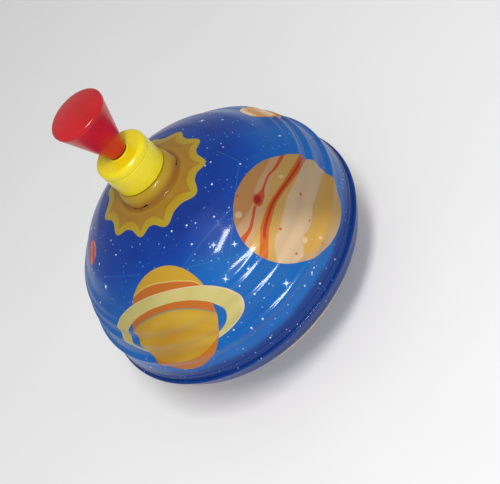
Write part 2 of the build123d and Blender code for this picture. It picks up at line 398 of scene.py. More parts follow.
def banded_line(shape, inner, zones, ribs):
    """The section of a pressed shell, with a rib's radius at the middle of its rise.

    It runs outwards from an inner radius through zones of (outer radius, spacing of the points).
    """
    half, base, rise = shape
    start, end = math.asin(inner / half), math.asin(zones[-1][0] / half)
    angles = np.linspace(start, end, SECTION_STATIONS)
    plain = np.array([shell_point(shape, a, 0.0) for a in angles])
    run = np.concatenate(([0], np.cumsum(np.hypot(*np.diff(plain, axis=0).T))))
    placed = [
        (float(np.interp(math.asin(r / half), angles, run)) + w / 2, h, w, fall, skew)
        for r, h, w, fall, skew in ribs
    ]
    stations = [0.0]
    for radius, spacing in zones:
        done = stations[-1]
        length = float(np.interp(math.asin(radius / half), angles, run)) - done
        count = int(length / spacing)
        stations += [done + length * (k + 1) / count for k in range(count)]
    return [
        shell_point(shape, float(np.interp(s, run, angles)), relief(s, placed)) for s in stations
    ]


def dome_line():
    """The dome's outer section: boss, bands, and the hem rolled under the rim."""
    flat = [(8.0, BOSS_TOP), (10.5, BOSS_TOP), (13.2, BOSS_TOP)]
    shoulder = [
        (14.6, BOSS_TOP - 0.08),
        (15.9, BOSS_TOP - 0.4),
        (17.1, BOSS_TOP - 1.0),
        (18.1, BOSS_TOP - 1.85),
        (18.9, BOSS_TOP - 2.9),
        (19.45, BOSS_TOP - 4.1),
        (19.8, BOSS_TOP - 5.2),
    ]
    wall = [(20.0 + 0.1 * k, BOSS_TOP - 6.1 - 0.28 * k) for k in range(9)]
    foot = [(21.1, 138.62), (21.55, 138.3), (22.2, 138.08)]
    bands = banded_line(DOME, 23.2, DOME_ZONES, DOME_RIBS)
    hem = [(RIM_RADIUS - 1.6, SEAM + 1.05)]
    for k in range(13):
        angle = math.radians(90 - 15 * k)
        hem.append((RIM_RADIUS - 1.0 + math.cos(angle), SEAM + math.sin(angle)))
    hem += [(RIM_RADIUS - 1.9, SEAM - 1.0), (RIM_RADIUS - 2.9, SEAM - 0.9)]
    return flat + shoulder + wall + foot + bands + hem


def beside_slit(x, y):
    """The angle in radians from the middle of the nearest air slit."""
    turn = math.degrees(math.atan2(y, x))
    return math.radians(min(abs((turn - a + 180) % 360 - 180) for a in SLIT_ANGLES))


def lift_louvres(points):
    """Pushes out the upper lip of each air slit, and presses in the lower one a little."""
    lifted = []
    for x, y, z in points:
        radius, push = math.hypot(x, y), 0.0
        above = z - SLIT_HEIGHT
        aside = beside_slit(x, y) * BOSS_RADIUS / SLIT_HALF
        if z > SLIT_HEIGHT - LIP_AREA_DEPTH and radius < LIP_AREA_RADIUS and aside < LIP_SPREAD:
            hump = math.cos(aside / LIP_SPREAD * math.pi / 2) ** 2
            if above > 0:
                push = LIP_PUSH * hump * math.exp(-((above / LIP_REACH) ** 2))
            else:
                push = -SILL_PUSH * hump * math.exp(-((above / SILL_REACH) ** 2))
        scale = (radius + push) / radius
        lifted.append((x * scale, y * scale, z))
    return lifted


def open_slits(faces, points):
    """Leaves out the faces where the air slits are cut."""
    kept = []
    for face in faces:
        x, y, z = (sum(points[i][c] for i in face) / len(face) for c in range(3))
        radius = math.hypot(x, y)
        level = abs(z - SLIT_HEIGHT) < SLIT_OPEN and radius < LIP_AREA_RADIUS
        if not (level and beside_slit(x, y) * radius < SLIT_HALF):
            kept.append(face)
    return kept


def dome_shell():
    """The upper shell, with its air slits cut and its hem rolled."""
    points, rows = turned_points(dome_line(), DOME_SEGMENTS)
    faces = open_slits(strips(rows, closed=False), points)
    shell = mesh_object("dome_shell", lift_louvres(points), faces)
    sheet_metal(shell)
    return shell


def bowl_shell():
    """The lower shell, with the flange that lies in the dome's hem."""
    flat = [(8.5, BOWL_FLOOR), (12.0, BOWL_FLOOR), (15.4, BOWL_FLOOR), (16.6, BOWL_FLOOR + 0.15)]
    bands = banded_line(BOWL, 19.0, BOWL_ZONES, BOWL_RIBS)
    flange = [(BOWL_HALF + 0.5, BOWL_BASE), (RIM_RADIUS - 0.75, BOWL_BASE)]
    points, rows = turned_points(flat + bands + flange, BOWL_SEGMENTS)
    shell = mesh_object("bowl_shell", points, strips(rows, closed=False))
    sheet_metal(shell)
    return shell


# ---------------------------------------------------------------- collar, handle and foot


def collar_pieces():
    """The yellow collar: a cup on the boss, and its chamfered cap."""
    low, high = (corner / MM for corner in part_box("collar_body"))
    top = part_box("collar_cap")[1].z / MM
    outer = high.x
    cup = turned(
        "collar_cup",
        (
            (8.0, BOSS_TOP, 0),
            (14.0, BOSS_TOP, 0),
            (outer - 0.9, low.z, 0.3),
            (outer, low.z + 0.9, 0.4),
            (outer, high.z - 0.12, 0.3),
            (outer - 0.35, high.z, 0.1),
            (15.3, high.z, 0),
            (15.3, BOSS_TOP + 2.0, 0.6),
            (8.0, BOSS_TOP + 2.0, 0),
        ),
    )
    cap = turned(
        "collar_lid",
        (
            (5.0, high.z - 2.0, 0),
            (15.3, high.z - 2.0, 0.3),
            (15.3, high.z, 0),
            (outer - 0.35, high.z, 0.1),
            (outer, high.z + 0.3, 0.2),
            (outer, top - 1.8, 0.9),
            (outer - 1.8, top, 0.9),
            (8.2, top, 0.3),
            (7.9, top - 0.35, 0.2),
            (6.6, top - 0.35, 0.2),
            (6.4, top, 0.15),
            (5.0, top, 0),
        ),
    )
    return cup, cap


def handle_pieces():
    """The red cone handle and its crowned lid."""
    low, high = (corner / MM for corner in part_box("knob_cone"))
    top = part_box("knob_cap")[1].z / MM
    wide, shoulder = high.x, high.z
    neck = 6.2
    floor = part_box("spiral_rod")[1].z / MM + 1.5
    slope = (wide - neck) / (shoulder - low.z)
    inner = neck + slope * (floor - low.z) - 2.2
    cone = turned(
        "handle_cone",
        (
            (3.1, low.z, 0),
            (neck, low.z, 0.7),
            (neck + slope * 2.2, low.z + 2.2, 1.2),
            (wide - 0.1, shoulder - 0.6, 0.35),
            (wide - 0.4, shoulder, 0.12),
            (wide - 2.2, shoulder, 0),
            (inner, floor, 0.5),
            (0.0, floor, 0),
            (0.0, floor - 1.5, 0),
            (3.1, floor - 1.5, 0),
        ),
    )
    crown = [
        (wide - 0.4, shoulder, 0.12),
        (wide, shoulder + 0.35, 0.25),
        (wide, shoulder + 1.1, 0.7),
    ]
    rise = top - shoulder - 1.9
    for k in range(13):
        share = 1 - k / 12
        crown.append(((wide - 1.0) * share, shoulder + 1.9 + rise * (1 - share * share), 0))
    spigot = wide - slope * 2.5 - 2.2
    crown += [
        (0.0, shoulder + 1.4, 0),
        (spigot - 1.6, shoulder - 1.0, 0.3),
        (spigot - 1.6, shoulder - 2.5, 0),
        (spigot, shoulder - 2.5, 0.2),
        (spigot, shoulder, 0),
    ]
    lid = turned("handle_lid", crown)
    return cone, lid


def foot_pieces():
    """The still foot and the rubber pad under it."""
    low, high = (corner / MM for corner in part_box("foot_cup"))
    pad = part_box("foot_sole")[1] / MM
    cup = turned(
        "foot_stand",
        (
            (0.0, low.z, 0),
            (high.x - 0.2, low.z, 0.2),
            (high.x, low.z + 0.5, 0.3),
            (high.x, low.z + 2.1, 0.5),
            (high.x - 1.9, low.z + 3.2, 1.0),
            (10.6, 7.4, 1.6),
            (9.4, 10.0, 1.2),
            (9.4, high.z, 0.35),
            (5.0, high.z, 0),
            (5.0, 3.2, 0),
            (0.0, 3.2, 0),
        ),
    )
    sole = turned(
        "foot_pad",
        (
            (0.0, 0.0, 0),
            (9.0, 0.0, 0.2),
            (9.3, 0.5, 0.2),
            (10.2, 0.5, 0.2),
            (10.5, 0.0, 0.2),
            (pad.x - 0.5, 0.0, 0.25),
            (pad.x, 0.5, 0.25),
            (pad.x, pad.z - 0.3, 0.2),
            (pad.x - 0.3, pad.z, 0.1),
            (0.0, pad.z, 0),
        ),
    )
    return cup, sole


def twisted_rod():
    """The right-handed twisted strip, with its long edges softened."""
    low, high = (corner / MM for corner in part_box("spiral_rod"))
    half_wide, half_thick, soft = 3.0, 0.7, 0.22
    lead, spacing = 44.0, 0.6
    section = []
    for sx, sy in ((1, 1), (-1, 1), (-1, -1), (1, -1)):
        corner = [
            (sx * half_wide, sy * (half_thick - soft)),
            (sx * (half_wide - soft), sy * half_thick),
        ]
        section += corner if sx * sy > 0 else corner[::-1]
    count = int((high.z - low.z) / spacing)
    points, rows = [], []
    for k in range(count + 1):
        z = low.z + (high.z - low.z) * k / count
        turn = 2 * math.pi * (z - low.z) / lead
        c, s = math.cos(turn), math.sin(turn)
        rows.append(list(range(len(points), len(points) + len(section))))
        points += [(x * c - y * s, x * s + y * c, z) for x, y in section]
    faces = strips(rows, closed=False) + [tuple(reversed(rows[0])), tuple(rows[-1])]
    return mesh_object("pump_rod", points, faces)


# ---------------------------------------------------------------- the printed pictures


def tangent_frame(radius, azimuth):
    """A point on the dome, and the directions around and up the dome there."""
    a = math.radians(azimuth)
    height = DOME_BASE + DOME_RISE * math.sqrt(1 - (radius / DOME_HALF) ** 2)
    point = Vector((radius * math.cos(a), radius * math.sin(a), height))
    flat = DOME_HALF**2
    normal = Vector((point.x / flat, point.y / flat, (height - DOME_BASE) / DOME_RISE**2))
    around = Vector((-math.sin(a), math.cos(a), 0.0))
    return point, around, normal.normalized().cross(around)


def dome_point(radius, azimuth):
    """The point of the plain dome at a radius and an azimuth in degrees."""
    return tangent_frame(radius, azimuth)[0]


LINE_LIMIT = 40.0  # the furthest up or down that a drawn line may run, in millimetres


class Picture:
    """Flat picture coordinates on the dome: around and up, in millimetres from a point.

    near is 1 on the point's side of the dome, and 0 on the far side.
    """

    def __init__(self, net, here, radius, azimuth):
        point, around, up = tangent_frame(radius, azimuth)
        self.net = net
        away = net.vector("SUBTRACT", here, tuple(point))
        self.around = net.vector("DOT_PRODUCT", away, tuple(around))
        self.up = net.vector("DOT_PRODUCT", away, tuple(up))
        depth = net.vector("DOT_PRODUCT", away, tuple(around.cross(up)))
        self.near = net.step(depth, -55.0, -50.0)

    def ellipse(self, centre, size, turn=0.0):
        """The distance outside an ellipse, negative inside, and that above its long axis."""
        c, s = math.cos(math.radians(turn)), math.sin(math.radians(turn))
        x, y = self.around - centre[0], self.up - centre[1]
        along, across = x * c + y * s, y * c - x * s
        length = (along / size[0]) ** 2.0 + (across / size[1]) ** 2.0
        return (length**0.5 - 1.0) * ((size[0] + size[1]) / 2), across

    def line(self, points):
        """How far above a drawn line a point is; the line runs through (around, up) points."""
        return self.up - self.net.curve(self.around, points, -LINE_LIMIT, LINE_LIMIT)

    def dot(self, around, up, size, soft=0.25):
        """A small round spot."""
        x, y = self.around - around, self.up - up
        return self.net.inside((x * x + y * y) ** 0.5 - size, soft)


# Spots of the banded giant: around, up, size.
RED_SPOTS = (
    (-6.5, 31.0, 0.8), (8.3, -2.7, 1.0), (-4.4, -12.7, 0.7), (-12.4, -25.1, 0.6),
    (-25.3, -12.3, 0.8), (-17.1, 2.4, 0.8), (-19.9, 12.2, 0.7),
)
PALE_SPOTS = ((-17.3, 26.7, 1.9), (-16.0, -14.3, 1.8), (-10.3, -22.5, 0.9), (15.0, 11.0, 1.2))


def jupiter(net, here, under):
    """The banded giant with its red stripe, over a colour below it."""
    pic = Picture(net, here, 80.0, -56.5)
    edge, _ = pic.ellipse((0.6, -0.7), (37.0, 31.6), -28.1)
    wobble = (net.noise(here, 0.09, 3.0) - 0.5) * 1.6
    left_pale = pic.line(
        (
            (-45, 26), (-24.4, 25), (-17.4, 23), (-7.8, 21.6), (-0.7, 22.8), (8.4, 22.4),
            (17.4, 20.7), (40, 20),
        )
    )
    mid_pale = pic.line(
        ((-45, 13.5), (-27.9, 14.4), (-12, 14.2), (3, 15.6), (17.4, 15.0), (40, 15))
    )
    peach_left = pic.line(
        (
            (-45, -6), (-33.9, -3.4), (-26.9, 2.2), (-14.7, 3.0), (-7.9, 3.8), (2.5, 4.5),
            (15, 2.5), (40, 1),
        )
    )
    peach_right = pic.line(
        (
            (-45, -24), (-26.1, -18.2), (-20.1, -14.9), (-14, -12.6), (-9.5, -14.1),
            (-2.3, -13.9), (4.2, -11.9), (11.3, -12.3), (30, -14),
        )
    )
    outer_pale = pic.line(
        (
            (-45, -12), (-23, -17.9), (-20.1, -20.6), (-14.3, -24.1), (-6.4, -27.1),
            (3.1, -29.6), (20, -34),
        )
    )
    stripe = pic.line(
        (
            (-45, 3.5), (-33.9, 5.7), (-27.3, 8.0), (-20.6, 10.2), (-12.9, 11.0), (-5.2, 11.1),
            (4.8, 9.1), (16.3, 5.8), (40, 0),
        )
    )
    streak = pic.line(
        (
            (-45, 20.5), (-29.6, 19.3), (-23.5, 18.0), (-16.9, 18.6), (-9.2, 19.8),
            (-4.8, 19.3), (-0.3, 18.7), (6.4, 18.6), (13.1, 17.9), (18.9, 15.7), (40, 12),
        )
    )
    above_pale = net.step(left_pale + wobble, -0.35, 0.35)
    color = net.mix(above_pale, ink(214, 168, 122), ink(202, 146, 86))
    color = net.mix(net.step(mid_pale, 0.3, -0.3), color, ink(212, 168, 92))
    color = net.mix(net.step(peach_left, 0.3, -0.3), color, ink(218, 186, 146))
    color = net.mix(net.step(peach_right + wobble * 0.4, 0.3, -0.3), color, ink(210, 164, 80))
    color = net.mix(net.step(outer_pale, 0.3, -0.3), color, ink(196, 160, 112))
    wide = net.curve(
        pic.around,
        ((-45, 2.6), (-30, 2.5), (-12, 2.3), (5, 1.8), (20, 2.3), (40, 2.5)),
        0.0,
        4.0,
    )
    reach = net.math("ABSOLUTE", stripe)
    color = net.mix(net.inside(reach - wide, 0.3), color, ink(212, 108, 32))
    core = net.inside(reach - 0.8, 0.35) * net.step(pic.around, -27.0, -24.0)
    color = net.mix(core, color, ink(186, 58, 28))
    thin = net.curve(
        pic.around,
        (
            (-45, 2.6), (-30, 1.7), (-22, 0.9), (-8, 0.9), (-3.5, 2.4), (0, 1.5), (4, 0.7),
            (10, 0.6), (20, 0.9), (40, 1.2),
        ),
        0.0,
        4.0,
    )
    gap = net.math("MAXIMUM", net.step(pic.around, -8.6, -9.4), net.step(pic.around, -5.5, -4.0))
    streak_share = net.inside(net.math("ABSOLUTE", streak) - thin, 0.3) * gap
    color = net.mix(streak_share, color, ink(205, 88, 40))
    halo, _ = pic.ellipse((-5.0, 19.5), (3.9, 3.0), 20.0)
    eye, _ = pic.ellipse((-4.8, 19.8), (2.6, 1.9), 20.0)
    color = net.mix(net.inside(halo, 0.4), color, ink(202, 84, 44))
    color = net.mix(net.inside(eye, 0.5), color, ink(172, 34, 26))
    for around, up, size in RED_SPOTS:
        color = net.mix(pic.dot(around, up, size), color, ink(205, 96, 46))
    for around, up, size in PALE_SPOTS:
        color = net.mix(pic.dot(around, up, size, 0.4), color, ink(230, 196, 150))
    # Painted shade: the planet is darkened towards the top of the dome and towards its side of
    # larger azimuth, standing in for shade that falls there.
    shade = net.step(pic.around * 1.7 + pic.up, 2.0, -40.0) * 0.42 + 0.53
    return net.mix(net.inside(edge) * pic.near, under, net.tint(color, shade))


def saturn(net, here, under):
    """The golden planet with its ring, over a colour below it."""
    pic = Picture(net, here, 78.0, -128.0)
    body, _ = pic.ellipse((-5.5, -2.4), (34.3, 27.8), 60.0)
    outer, above = pic.ellipse((-4.9, -2.8), (44.1, 19.7), -2.5)
    hole, _ = pic.ellipse((-6.6, -5.9), (34.5, 15.6), -1.5)
    cap = pic.line(
        (
            (-45, 8), (-30, 16.2), (-20.8, 20.6), (-9.8, 22.7), (2.8, 21.3), (13.6, 18.1),
            (19.2, 15.1), (24, 9), (35, 0),
        )
    )
    line = pic.line(
        (
            (-45, -8), (-36, -2), (-31.5, 1.3), (-19.2, 4.8), (-4.9, 5.5), (6.8, 3.6),
            (16.5, -0.4), (23.2, -5.1), (35, -14),
        )
    )
    crescent = pic.line(
        (
            (-45, -12), (-32.1, -21.2), (-21.5, -25.3), (-4.4, -26.7), (9, -23.5),
            (18.4, -17.8), (26, -9), (35, 4),
        )
    )
    grain = net.noise(net.join(pic.around * 0.25, line, 0.0), 0.09, 1.0)
    gold = net.mix(net.step(grain, 0.25, 0.75), ink(200, 148, 40), ink(214, 172, 56))
    color = net.mix(net.step(cap, -0.2, 0.2), ink(202, 112, 42), ink(208, 162, 48))
    color = net.mix(net.inside(net.math("ABSOLUTE", cap) - 0.4, 0.25), color, ink(220, 190, 100))
    color = net.mix(net.step(line, 0.2, -0.2), color, gold)
    seam = net.inside(net.math("ABSOLUTE", line) - 0.35, 0.25)
    color = net.mix(seam, color, ink(128, 150, 128))
    color = net.mix(net.step(crescent, 0.3, -0.3), color, ink(202, 118, 30))
    # Painted shade: the planet and its ring are dimmed, most on the side of smaller azimuth,
    # standing in for shade that falls there.
    shade = net.step(pic.around, -34.0, 26.0) * 0.16 + 0.72
    color = net.mix(net.inside(body) * pic.near, under, net.tint(color, shade))
    ring = net.inside(outer) * net.step(hole, -0.18, 0.18) * pic.near
    front = net.math("MAXIMUM", net.step(above, -1.5, -0.5), net.step(body, -0.1, 0.3))
    mottle = net.step(net.noise(here, 0.05, 1.0), 0.3, 0.7)
    light = net.mix(mottle, ink(206, 190, 112), ink(216, 203, 130))
    light = net.mix(net.inside(outer + 0.9, 0.3), ink(224, 204, 160), light)
    return net.mix(ring * front, color, net.tint(light, shade))


# Plain planets for the side that the photo doesn't show: (radius, azimuth) on the dome, size,
# lean of the belts, inks for belts, lighter belts, lightest belts and shade, and craters.
GLOBES = (
    (
        (77.0, 58.0), 25.0, 0.45,
        (ink(186, 62, 34), ink(210, 98, 44), ink(226, 138, 70), ink(148, 42, 30)),
        (
            (-8.0, 9.0, 2.6), (9.0, 4.0, 1.7), (-3.0, -9.0, 3.1), (12.0, -10.0, 1.4),
            (2.0, 16.0, 1.2),
        ),
    ),
    (
        (72.0, 121.0), 17.0, -0.4,
        (ink(26, 140, 168), ink(46, 164, 184), ink(128, 206, 208), ink(16, 104, 142)),
        ((-5.0, 7.5, 1.3), (6.5, -6.0, 1.7), (-7.0, -7.5, 0.9), (8.0, 6.5, 0.8)),
    ),
    (
        (79.0, 9.0), 13.5, 0.2,
        (ink(214, 150, 84), ink(228, 184, 122), ink(236, 208, 160), ink(182, 110, 56)),
        ((-4.0, 4.0, 0.9), (4.5, -4.5, 1.2)),
    ),
    (
        (60.0, 162.0), 8.0, 0.6,
        (ink(170, 56, 66), ink(196, 84, 80), ink(218, 130, 112), ink(124, 34, 54)),
        ((2.5, 2.0, 1.0), (-2.5, -2.0, 0.7)),
    ),
)


def globe(net, here, under, spot, size, lean, inks, dots):
    """A plain planet with wavy belts, a few craters and a shaded edge."""
    pic = Picture(net, here, *spot)
    edge, _ = pic.ellipse((0.0, 0.0), (size, size * 0.94))
    lit, _ = pic.ellipse((size * 0.14, size * 0.12), (size * 0.96, size * 0.9))
    flow = net.noise(net.join(pic.around * 0.4, pic.up, spot[1]), 2.4 / size, 2.0) * 5.0
    belts = net.math("SINE", (pic.up + pic.around * lean) * (6.6 / size) + flow)
    color = net.mix(net.step(belts, -0.1, 0.1), inks[0], inks[1])
    color = net.mix(net.step(belts, 0.8, 0.88), color, inks[2])
    for around, up, radius in dots:
        color = net.mix(pic.dot(around, up, radius), color, inks[3])
        shift = radius * 0.2
        floor_of_crater = pic.dot(around + shift, up - shift, radius * 0.72)
        color = net.mix(floor_of_crater, color, inks[0])
    color = net.mix(net.step(lit, 0.0, 0.5) * 0.75, color, inks[3])
    return net.mix(net.inside(edge) * pic.near, under, color)


# Azimuths of the sun's rays, in degrees.
SUN_TIPS = (-170.5, -138.2, -109.9, -71.5, -38.0, -5.5, 27.0, 59.5, 92.0, 124.5, 157.0)


def sun(net, here, under):
    """The sun round the boss, with wavy rays, over a colour below it."""
    x, y, z = net.split(here)
    radius = (x * x + y * y) ** 0.5
    turn = net.math("ARCTAN2", y, x) * (180 / math.pi)
    tips = [(azimuth, float(k)) for k, azimuth in enumerate(SUN_TIPS)]
    beat = [(-180.0, -0.292), *tips, (180.0, 10.708)]  # the ends meet, 11 rays apart
    phase = net.curve(turn, beat, -1.0, 11.0) * (2 * math.pi)
    wave = net.math("COSINE", phase) * 0.5 + 0.5
    reach = wave ** 1.35 * 4.6 + 33.6 + net.math("SINE", turn * (math.pi / 60)) * 0.5
    peak = 1.0 - net.math("ABSOLUTE", net.math("SINE", phase * 0.5))
    inner = peak**1.7 * 6.4 + 28.6
    rim = net.mix(net.step(radius, 28.0, 35.0), ink(208, 168, 50), ink(204, 176, 46))
    petals = net.mix(net.step(inner - radius, -0.5, 4.0), ink(188, 136, 44), ink(196, 146, 50))
    color = net.mix(net.inside(radius - inner, 0.8), rim, petals)
    # The ring round the boss is printed orange-brown. Painted shade: it darkens further towards
    # the boss's foot, and the boss darkens from its top down to its foot, as shade in the crease
    # there.
    glow = net.mix(net.step(radius, 21.0, 23.6), ink(184, 124, 40), ink(204, 156, 50))
    color = net.mix(net.step(radius, 25.8, 23.4), color, glow)
    crown = net.step(z, BOSS_TOP - 8.0, BOSS_TOP - 3.0)
    boss = net.mix(crown, ink(190, 128, 40), ink(226, 186, 50))
    color = net.mix(net.step(radius, 21.2, 20.6), color, boss)
    upper = net.step(z, DOME_BASE, DOME_BASE + 30.0)
    # Painted shade: the sun and the boss are dimmed, most near the boss, standing in for shade
    # that falls there.
    shade = net.step(radius, 16.0, 40.0) * 0.14 + 0.54
    return net.mix(net.inside(radius - reach, 0.25) * upper, under, net.tint(color, shade))


def star_field(net, here, under, share, size, color, cell, seed):
    """Small random stars: one to a cell, in some of the cells."""
    node = net.nodes.new("ShaderNodeTexVoronoi")
    node.feature = "F1"
    net.feed(node.inputs["Vector"], net.vector("ADD", here, (seed, seed * 0.7, seed * 1.3)))
    node.inputs["Scale"].default_value = 1.0 / cell
    node.inputs["Randomness"].default_value = 0.9
    red, green, blue = net.split(Value(net, node.outputs["Color"]))
    distance = Value(net, node.outputs["Distance"]) * cell
    radius = green * size * 0.7 + size * 0.4
    chosen = net.step(red, 1.0 - share, 1.0 - share + 0.02)
    lit = net.inside(distance - radius, size * 0.45) * chosen
    return net.mix(lit * (blue * 0.5 + 0.5), under, color)


# Larger stars: radius and azimuth on the dome, size.
BIG_STARS = (
    (53.7, -80.3, 0.8), (79.9, -97.4, 0.7), (84.6, -95.5, 0.8), (89.8, -105.2, 0.8),
    (88.4, -111.0, 0.8), (44.2, -60.0, 0.8), (91.3, -75.4, 0.9), (91.5, -80.9, 0.8),
    (45.7, -96.4, 0.8), (42.7, -108.2, 0.8), (91.2, -73.6, 0.8), (54.8, -101.7, 0.8),
    (61.8, -94.9, 0.7), (58.0, 8.0, 0.9), (70.0, 28.0, 0.8), (52.0, 150.0, 0.9),
    (66.0, 172.0, 0.8), (81.0, 140.0, 0.8), (84.0, 60.0, 0.8), (47.0, 66.0, 0.8),
    (48.0, -165.0, 0.8), (73.0, 100.0, 0.9), (88.0, 20.0, 0.8), (87.0, -175.0, 0.8),
)
# Four-pointed glints: radius and azimuth on the dome, size.
SPARKLES = (
    (62.2, -92.9, 2.5), (68.6, -85.7, 2.5), (75.2, -99.8, 2.7), (88.7, -84.6, 3.6),
    (52.0, 20.0, 2.8), (80.0, 36.0, 3.2), (60.0, 142.0, 3.0), (86.0, 118.0, 2.8),
    (66.0, -172.0, 2.8),
)
# Lines between stars, each through (radius, azimuth) points of the dome.
THREADS = (
    ((61.2, -114.1), (58.6, -70.5)),
    ((61.2, -114.1), (74.5, -86.7)),
    (
        (44.0, -28.0), (55.2, -38.8), (62.8, -78.0), (77.4, -101.3), (88.1, -116.9),
        (92.6, -130.7),
    ),
    ((88.6, -117.6), (90.7, -113.8), (91.6, -110.9)),
    ((62.2, -174.9), (57.0, -141.8)),
    ((57.0, 8.0), (70.0, 28.0), (80.0, 36.0)),
    ((52.0, 20.0), (70.0, 28.0), (84.0, 60.0)),
    ((60.0, 142.0), (66.0, 172.0), (66.0, -172.0)),
    ((60.0, 142.0), (73.0, 100.0), (86.0, 118.0)),
)


def thread(net, here, ends):
    """The distance from a line drawn over the dome between two points."""
    (first, around, up), (last, last_around, last_up) = (tangent_frame(*end) for end in ends)
    run = last - first
    normal = around.cross(up) + last_around.cross(last_up)
    side = normal.cross(run).normalized()
    away = net.vector("SUBTRACT", here, tuple(first))
    across = net.math("ABSOLUTE", net.vector("DOT_PRODUCT", away, tuple(side)))
    share = net.vector("DOT_PRODUCT", away, tuple(run / run.length_squared))
    beyond = (net.math("ABSOLUTE", share - 0.5) - 0.5) * run.length
    depth = net.vector("DOT_PRODUCT", away, tuple(normal.normalized()))
    far_side = -30.0 - depth
    return net.math("MAXIMUM", net.math("MAXIMUM", across, beyond), far_side)


def sparkle(net, here, radius, azimuth, size):
    """A four-pointed glint: how much of it covers the sky, and its faint glow."""
    point, around, up = tangent_frame(radius, azimuth)
    away = net.vector("SUBTRACT", here, tuple(point))
    x = net.math("ABSOLUTE", net.vector("DOT_PRODUCT", away, tuple((around + up).normalized())))
    y = net.math("ABSOLUTE", net.vector("DOT_PRODUCT", away, tuple((around - up).normalized())))
    upright = y / size + x * 3.0
    level = x / size + y * 3.0
    arms = net.step(net.math("MINIMUM", upright, level), 1.1, 0.5)
    distance = net.vector("LENGTH", away)
    core = net.step(distance, size * 0.36, size * 0.18)
    return net.math("MAXIMUM", arms, core), net.step(distance, size * 1.1, 0.0)


def night(net, here):
    """The cloudy blue sky of the print: deep near the sun, bright in a belt, navy at the rim."""
    x, y, z = net.split(here)
    radius = (x * x + y * y) ** 0.5
    clouds = net.noise(here, 0.017, 4.0, 0.55)
    wisps = net.noise(net.vector("ADD", here, (310.0, 40.0, 90.0)), 0.045, 3.0, 0.6)
    belt = net.step(radius, 44.0, 80.0) * 0.55
    bright = belt + clouds * 0.8 + wisps * 0.35 - 0.36
    color = net.mix(net.step(bright, 0.0, 0.4), ink(8, 36, 118), ink(6, 60, 152))
    color = net.mix(net.step(bright, 0.38, 0.85), color, ink(10, 98, 176))
    edge = z - (SEAM + 6.5) - wisps * 7.0
    color = net.mix(net.step(edge, 3.0, -2.0) * 0.85, color, ink(6, 38, 116))
    return net.mix(net.step(clouds, 0.4, 0.28) * 0.6, color, ink(12, 24, 86))


def to_shell(net, here):
    """The place on the plain dome below its ribs, so that they don't bend the pictures."""
    away = net.vector("SUBTRACT", here, (0.0, 0.0, DOME_BASE))
    squeeze = (1.0 / DOME_HALF, 1.0 / DOME_HALF, 1.0 / DOME_RISE)
    size = net.vector("LENGTH", net.vector("MULTIPLY", away, squeeze))
    return net.vector("ADD", net.scaled(away, 1.0 / size), (0.0, 0.0, DOME_BASE))


def varnished(net, here, color):
    """Print under clear varnish on tinplate that is slightly wavy from the press."""
    net.bump(net.noise(here, 0.06, 0.0, 0.0), 0.04)
    return net.finish(
        Base_Color=color,
        Roughness=net.noise(here, 0.4, 3.0) * 0.12 + 0.34,
        Specular_IOR_Level=0.12,
        Coat_Weight=0.38,
        Coat_Roughness=0.075,
        Coat_IOR=1.5,
    )


def dome_print():
    """The varnished picture on the dome."""
    net = Net("dome_print")
    place = net.place()
    here = to_shell(net, place)
    color = night(net, here)
    for ends in THREADS:
        for pair in zip(ends, ends[1:]):
            share = net.inside(thread(net, here, pair) - 0.14, 0.3) * 0.7
            color = net.mix(share, color, ink(38, 124, 160))
    color = star_field(net, here, color, 0.45, 0.42, ink(140, 190, 232), 3.2, 13.0)
    color = star_field(net, here, color, 0.55, 0.6, ink(214, 228, 248), 5.4, 41.0)
    color = star_field(net, here, color, 0.5, 0.46, ink(70, 156, 214), 4.1, 87.0)
    for radius, azimuth, size in BIG_STARS:
        away = net.vector("DISTANCE", here, tuple(dome_point(radius, azimuth)))
        color = net.mix(net.step(away, size * 0.95, size * 0.3), color, ink(222, 232, 248))
    for radius, azimuth, size in SPARKLES:
        glint, glow = sparkle(net, here, radius, azimuth, size)
        color = net.mix(glow * 0.45, color, ink(44, 140, 205))
        color = net.mix(glint, color, ink(226, 240, 255))
    for spot, size, lean, inks, dots in GLOBES:
        color = globe(net, here, color, spot, size, lean, inks, dots)
    color = jupiter(net, here, color)
    color = saturn(net, here, color)
    color = sun(net, place, color)
    return varnished(net, place, color)


# Printed bands under the drum: middle radius, half width, ink.
BOWL_BANDS = (
    (84.0, 2.1, ink(226, 190, 50)),
    (78.0, 1.6, ink(176, 104, 44)),
    (44.0, 1.8, ink(226, 190, 50)),
)


def bowl_print():
    """The print under the drum: blue, with yellow and orange-brown bands."""
    net = Net("bowl_print")
    here = net.place()
    x, y, _ = net.split(here)
    radius = (x * x + y * y) ** 0.5
    color = night(net, here)
    color = star_field(net, here, color, 0.5, 0.5, ink(196, 222, 246), 4.0, 23.0)
    for middle_radius, half_width, tone in BOWL_BANDS:
        off_band = net.math("ABSOLUTE", radius - middle_radius) - half_width
        color = net.mix(net.inside(off_band, 0.25), color, tone)
    color = net.mix(net.inside(radius - 22.0, 0.25), color, ink(196, 146, 48))
    return varnished(net, here, color)


# ---------------------------------------------------------------- plain materials


def moulded(name, tone, deep, roughness):
    """Glossy moulded plastic with faint flow marks and handling wear."""
    net = Net(name)
    here = net.place()
    flow = net.noise(here, 0.06, 4.0, 0.6)
    speck = net.noise(here, 1.4, 3.0, 0.6)
    depth = net.step(flow, 0.3, 0.75) * 0.6 + net.step(speck, 0.45, 0.7) * 0.15
    color = net.mix(depth, ink(*tone), ink(*deep))
    strokes = net.vector("MULTIPLY", here, (1.0, 1.0, 4.0))
    scuff = net.step(net.noise(strokes, 0.35, 5.0, 0.7), 0.55, 0.75)
    net.bump(net.noise(here, 2.2, 3.0, 0.6) * 0.4 + flow * 0.6, 0.03)
    return net.finish(
        Base_Color=color,
        Roughness=scuff * 0.12 + speck * 0.06 + roughness,
        IOR=1.49,
        Subsurface_Weight=0.12,
        Subsurface_Radius=(0.002, 0.0015, 0.001),
        Subsurface_Scale=1.0,
    )


